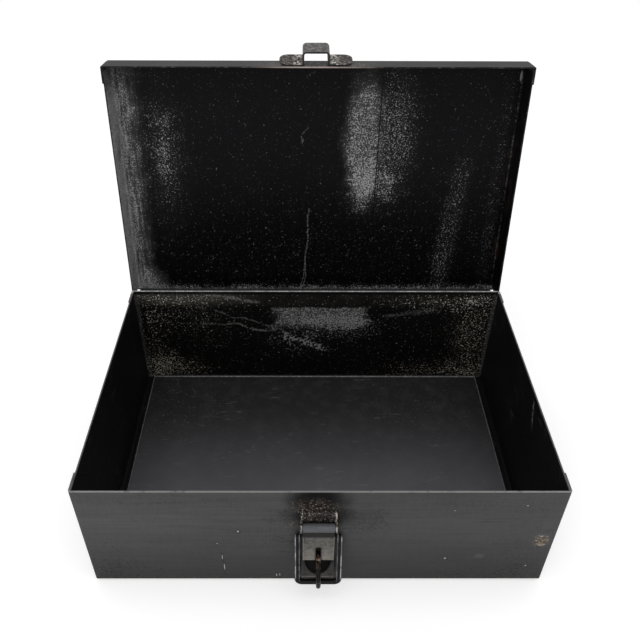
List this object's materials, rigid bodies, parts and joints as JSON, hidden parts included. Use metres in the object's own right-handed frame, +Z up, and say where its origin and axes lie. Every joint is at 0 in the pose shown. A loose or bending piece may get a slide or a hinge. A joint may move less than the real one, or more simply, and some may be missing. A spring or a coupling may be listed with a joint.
{
  "type": "deed box",
  "caption": "Shallow rectangular sheet-steel deed box with a hinged flanged lid, lever draw latch with a swinging ring, lid catch and padlock eye, standing open.",
  "frame": {"origin": "middle of the base's underside, on the surface the box stands on", "axes": "+X to the box's right seen from the front, +Y to the back where the hinges are, +Z up"},
  "size_m": [0.3094, 0.2628, 0.2913],
  "materials": {
    "box_black": "satin black paint, scuffed and dusty",
    "fittings_black": "worn black paint on steel",
    "lever_grey": "paint worn thin over steel",
    "catch_brown": "dark oxidised steel with bare patches",
    "latch_rust": "rusted and worn black steel",
    "dull_steel": "dull oxidised steel",
    "eye_steel": "rubbed steel wire"
  },
  "bodies": {
    "base": {"base_shell": "box_black", "side_panel_left": "box_black", "side_panel_right": "box_black", "hinge_base_leaf_left": "fittings_black", "hinge_base_leaf_right": "fittings_black", "hinge_pin_left": "dull_steel", "hinge_pin_right": "dull_steel", "hinge_base_rivets": "dull_steel", "latch_plate": "latch_rust", "latch_pin": "dull_steel", "latch_rivets": "dull_steel", "padlock_eye": "eye_steel"},
    "lid": {"lid_tray": "box_black", "hinge_lid_leaf_left": "fittings_black", "hinge_lid_leaf_right": "fittings_black", "hinge_lid_rivets": "dull_steel", "catch_strap": "catch_brown", "catch_rivets": "dull_steel"},
    "lever": {"latch_lever": "lever_grey"},
    "ring_pin": {"ring_pin": "dull_steel"},
    "ring": {"latch_ring": "fittings_black"}
  },
  "joints": [
    {"name": "lid_hinge", "type": "hinge", "parent": "base", "child": "lid", "pos_m": [0, 0.1011, 0.0823], "axis": [1, 0, 0], "range_deg": [0, 97.54]},
    {"name": "lever_lift", "type": "hinge", "parent": "base", "child": "lever", "pos_m": [0, -0.1011, 0.0692], "axis": [-1, 0, 0], "range_deg": [0, 102]},
    {"name": "ring_pin_turn", "type": "hinge", "parent": "lever", "child": "ring_pin", "pos_m": [0, -0.0997, 0.0582], "axis": [-1, 0, 0], "range_deg": [-102, 0]},
    {"name": "ring_swing", "type": "hinge", "parent": "ring_pin", "child": "ring", "pos_m": [0, -0.0997, 0.0582], "axis": [-1, 0, 0], "range_deg": [0, 160]}
  ],
  "couplings": [
    {"joint": "ring_pin_turn", "follows": "lever_lift", "ratio": -1}
  ]
}
